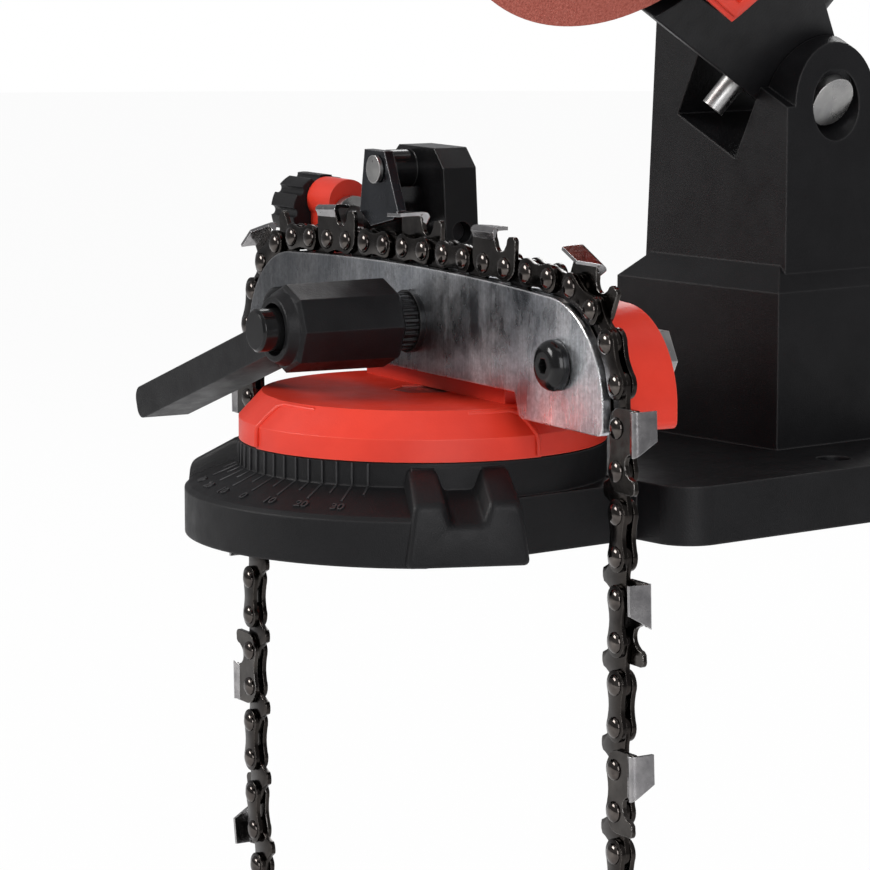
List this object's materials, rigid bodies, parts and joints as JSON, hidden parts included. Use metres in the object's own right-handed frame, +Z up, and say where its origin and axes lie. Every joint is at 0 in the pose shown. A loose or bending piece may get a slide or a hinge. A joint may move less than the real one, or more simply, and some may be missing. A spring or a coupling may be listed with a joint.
{
  "type": "electric chainsaw sharpener",
  "caption": "Bench-mounted electric grinder for saw chain with a swivelling rail vise, clamp lever, chain stop and tilted hinged wheel head.",
  "frame": {"origin": "midway between the two bench bolt holes, on the base's underside", "axes": "+Z up; -Y towards the operator; +X to the operator's right; the hinge axis tilts 25 degrees in the XZ plane"},
  "size_m": [0.2157, 0.193, 0.5121],
  "materials": {
    "abrasive": "rough",
    "black_casting": "satin",
    "black_plastic": "satin",
    "brush_carbon": "matte",
    "chain_steel": "satin",
    "clear_shield": "gloss",
    "cutter_chrome": "gloss",
    "dark_steel": "satin",
    "gloss_black": "gloss",
    "grip_rubber": "matte",
    "head_paint": "satin",
    "polished_steel": "gloss",
    "rail_zinc": "satin",
    "red_plastic": "satin",
    "winding_copper": "satin",
    "zinc_steel": "satin"
  },
  "bodies": {
    "base": {"base": "black_casting", "hinge_pin": "zinc_steel", "return_spring": "zinc_steel"},
    "turntable": {"turntable_disc": "red_plastic", "pivot_bolt": "zinc_steel", "table_washer": "zinc_steel", "vise_body": "red_plastic", "rear_rail": "rail_zinc", "body_screws": "zinc_steel", "rail_screws": "gloss_black", "rear_nuts": "zinc_steel", "clamp_stud": "zinc_steel", "chain_drive_links": "chain_steel", "chain_tie_straps": "chain_steel", "chain_cutters": "cutter_chrome"},
    "angle_knob": {"angle_lock_knob": "black_plastic"},
    "front_jaw": {"front_rail": "rail_zinc", "lever_washer": "zinc_steel"},
    "clamp_lever": {"lever_sleeve": "dark_steel", "lever_cap_screw": "gloss_black"},
    "lever_handle": {"lever_handle": "black_plastic"},
    "stop_screw": {"stop_screw": "black_plastic", "stop_screw_collar": "zinc_steel"},
    "stop_carriage": {"stop_carriage": "gloss_black", "pawl_pin": "zinc_steel"},
    "pawl": {"pawl": "polished_steel"},
    "head": {"head_frame": "head_paint", "wheel_cover": "red_plastic", "cover_screws": "zinc_steel", "shield_pin": "zinc_steel", "front_bearing": "polished_steel", "rear_bearing": "polished_steel", "field_ring": "winding_copper", "brush_ring": "black_plastic", "brushes": "brush_carbon", "motor_housing": "red_plastic", "motor_end_cap": "black_plastic", "cable_gland": "black_plastic", "switch_box": "black_plastic", "handle_core": "zinc_steel", "handle_grip": "grip_rubber", "depth_stop_nut": "zinc_steel"},
    "spindle": {"grinding_wheel": "abrasive", "inner_wheel_flange": "zinc_steel", "outer_wheel_flange": "zinc_steel", "spindle_nut": "zinc_steel", "spindle_shaft": "polished_steel", "cooling_fan": "black_plastic", "rotor": "dark_steel", "commutator": "winding_copper"},
    "spark_shield": {"spark_shield": "clear_shield"},
    "rocker": {"rocker_switch": "gloss_black"},
    "depth_stop": {"depth_stop_bolt": "zinc_steel"}
  },
  "joints": [
    {"name": "table_swivel", "type": "hinge", "parent": "base", "child": "turntable", "pos_m": [0, -0.09, 0], "axis": [0, 0, 1], "range_deg": [-26, 44]},
    {"name": "angle_knob_turn", "type": "hinge", "parent": "turntable", "child": "angle_knob", "pos_m": [0, -0.09, 0], "axis": [0, 0, -1], "range_deg": [0, 180]},
    {"name": "rail_clamp", "type": "slide", "parent": "turntable", "child": "front_jaw", "axis": [0.1564, 0.9877, 0], "range_m": [0, 0.00025]},
    {"name": "clamp_lever_turn", "type": "hinge", "parent": "front_jaw", "child": "clamp_lever", "pos_m": [-0.00627, -0.12961, 0.05], "axis": [0.1564, 0.9877, 0], "range_deg": [0, 70]},
    {"name": "lever_lift", "type": "slide", "parent": "clamp_lever", "child": "lever_handle", "axis": [-0.1564, -0.9877, 0], "range_m": [0, 0.004], "stiffness_N_per_m": 1500, "springref_m": -0.001},
    {"name": "stop_screw_turn", "type": "hinge", "parent": "turntable", "child": "stop_screw", "pos_m": [-0.07098, -0.06509, 0.07], "axis": [0.9877, -0.1564, 0], "range_deg": [-1441, 231]},
    {"name": "stop_carriage_slide", "type": "slide", "parent": "turntable", "child": "stop_carriage", "axis": [0.9877, -0.1564, 0], "range_m": [-0.005, 0.0008]},
    {"name": "pawl_lift", "type": "hinge", "parent": "stop_carriage", "child": "pawl", "pos_m": [-0.02247, -0.08482, 0.0845], "axis": [0.1564, 0.9877, 0], "range_deg": [0, 45]},
    {"name": "head_hinge", "type": "hinge", "parent": "base", "child": "head", "pos_m": [0.01517, 0.022, 0.10281], "axis": [0.9063, 0, -0.4226], "range_deg": [0, 28.3], "stiffness_Nm_per_rad": 2.2, "springref_deg": -63.03},
    {"name": "spindle_spin", "type": "hinge", "parent": "head", "child": "spindle", "pos_m": [0.04616, -0.06499, 0.16926], "axis": [-0.9063, 0, 0.4226], "continuous": true},
    {"name": "shield_lift", "type": "hinge", "parent": "head", "child": "spark_shield", "pos_m": [0.06178, -0.11979, 0.20277], "axis": [-0.9063, 0, 0.4226], "range_deg": [0, 80]},
    {"name": "rocker_tilt", "type": "hinge", "parent": "head", "child": "rocker", "pos_m": [0.00316, -0.1005, 0.21193], "axis": [0.366, 0.5, 0.7849], "range_deg": [0, 14]},
    {"name": "depth_stop_slide", "type": "slide", "parent": "head", "child": "depth_stop", "axis": [0.366, 0.5, 0.7849], "range_m": [0, 0.004]}
  ],
  "couplings": [
    {"joint": "rail_clamp", "follows": "clamp_lever_turn", "m_per_rad": 0.00019894},
    {"joint": "stop_screw_turn", "follows": "stop_carriage_slide", "rad_per_m": 5026.5}
  ]
}
